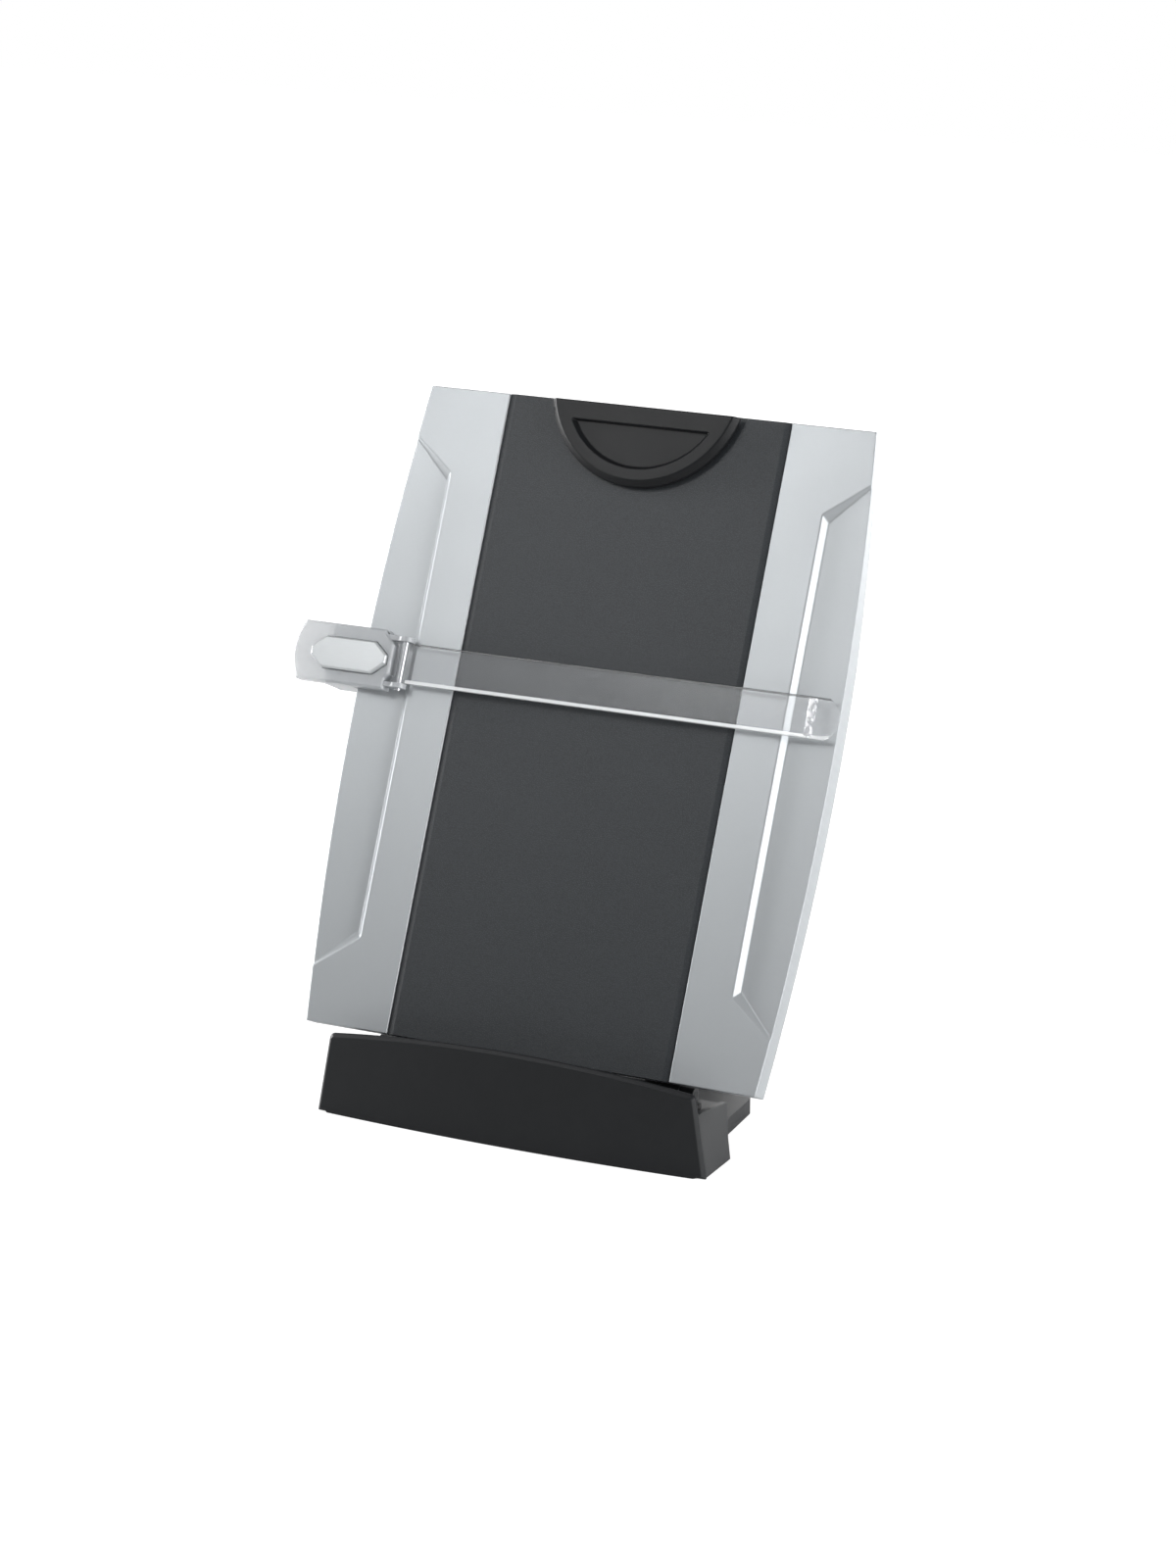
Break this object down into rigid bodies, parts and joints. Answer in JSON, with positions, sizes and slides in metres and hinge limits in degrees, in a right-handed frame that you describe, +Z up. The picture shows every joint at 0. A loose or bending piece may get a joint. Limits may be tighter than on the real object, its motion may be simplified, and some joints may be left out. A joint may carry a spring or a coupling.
{
  "type": "copy holder with line guide",
  "caption": "Desk copy holder: leaning board with spring clip, sliding clear line guide on a hinge, tilting base with paper tray and fold-away easel leg.",
  "frame": {"origin": "on the desk, on the centre plane, below the board's lower front edge", "axes": "+X to the reader's right, +Y away from the reader, +Z up"},
  "size_m": [0.3038, 0.2172, 0.3432],
  "materials": {
    "silver_plastic": "metallic silver paint, satin",
    "panel_black": "fine leather-like grain",
    "base_plastic": "satin moulded",
    "clip_plastic": "satin moulded",
    "frosted_plastic": "frosted translucent",
    "button_silver": "satin silver",
    "clear_plastic": "clear polished",
    "steel": "plain",
    "nylon": "natural nylon",
    "tray_rubber": "matt"
  },
  "bodies": {
    "base": {"base_body": "base_plastic", "front_lip": "base_plastic", "end_cap_right": "base_plastic", "end_cap_left": "base_plastic", "paper_ledge": "tray_rubber", "bottom_plate": "base_plastic", "base_screws": "steel", "desk_strip": "tray_rubber", "base_feet": "tray_rubber", "tilt_pins": "steel", "friction_washers": "nylon"},
    "board": {"front_shell": "silver_plastic", "centre_panel": "panel_black", "clip_ears": "silver_plastic", "back_cover": "base_plastic", "cover_screws": "steel", "guide_rail": "base_plastic", "leg_pin": "steel"},
    "leg": {"easel_leg": "base_plastic", "leg_pad": "tray_rubber"},
    "clip": {"clip_lever": "clip_plastic", "clip_jaw_pad": "tray_rubber", "clip_pin": "steel", "clip_spring": "steel"},
    "slider": {"slider_front": "frosted_plastic", "slider_back": "frosted_plastic", "slider_liner": "nylon", "slider_screws": "steel", "guide_pin": "steel"},
    "button": {"release_button": "button_silver", "button_spring": "steel"},
    "blade": {"guide_blade": "clear_plastic"}
  },
  "joints": [
    {"name": "board_tilt", "type": "hinge", "parent": "base", "child": "board", "pos_m": [0, 0.012, 0.03], "axis": [1, 0, 0], "range_deg": [-64, 8]},
    {"name": "leg_fold", "type": "hinge", "parent": "board", "child": "leg", "pos_m": [0, 0.13706, 0.29542], "axis": [1, 0, 0], "range_deg": [-35, 0]},
    {"name": "clip_press", "type": "hinge", "parent": "board", "child": "clip", "pos_m": [0, 0.13472, 0.33678], "axis": [-1, 0, 0], "range_deg": [0, 22], "stiffness_Nm_per_rad": 0.5, "springref_deg": -20.05, "deforming": ["clip_spring"]},
    {"name": "guide_slide", "type": "slide", "parent": "board", "child": "slider", "axis": [0, 0.4226, 0.9063], "range_m": [-0.12, 0.083]},
    {"name": "button_press", "type": "slide", "parent": "slider", "child": "button", "axis": [0, 0.9063, -0.4226], "range_m": [0, 0.0015], "stiffness_N_per_m": 800, "springref_m": -0.001, "deforming": ["button_spring"]},
    {"name": "blade_swing", "type": "hinge", "parent": "slider", "child": "blade", "pos_m": [-0.1074, 0.07462, 0.21121], "axis": [0, -0.4226, -0.9063], "range_deg": [0, 100]}
  ]
}
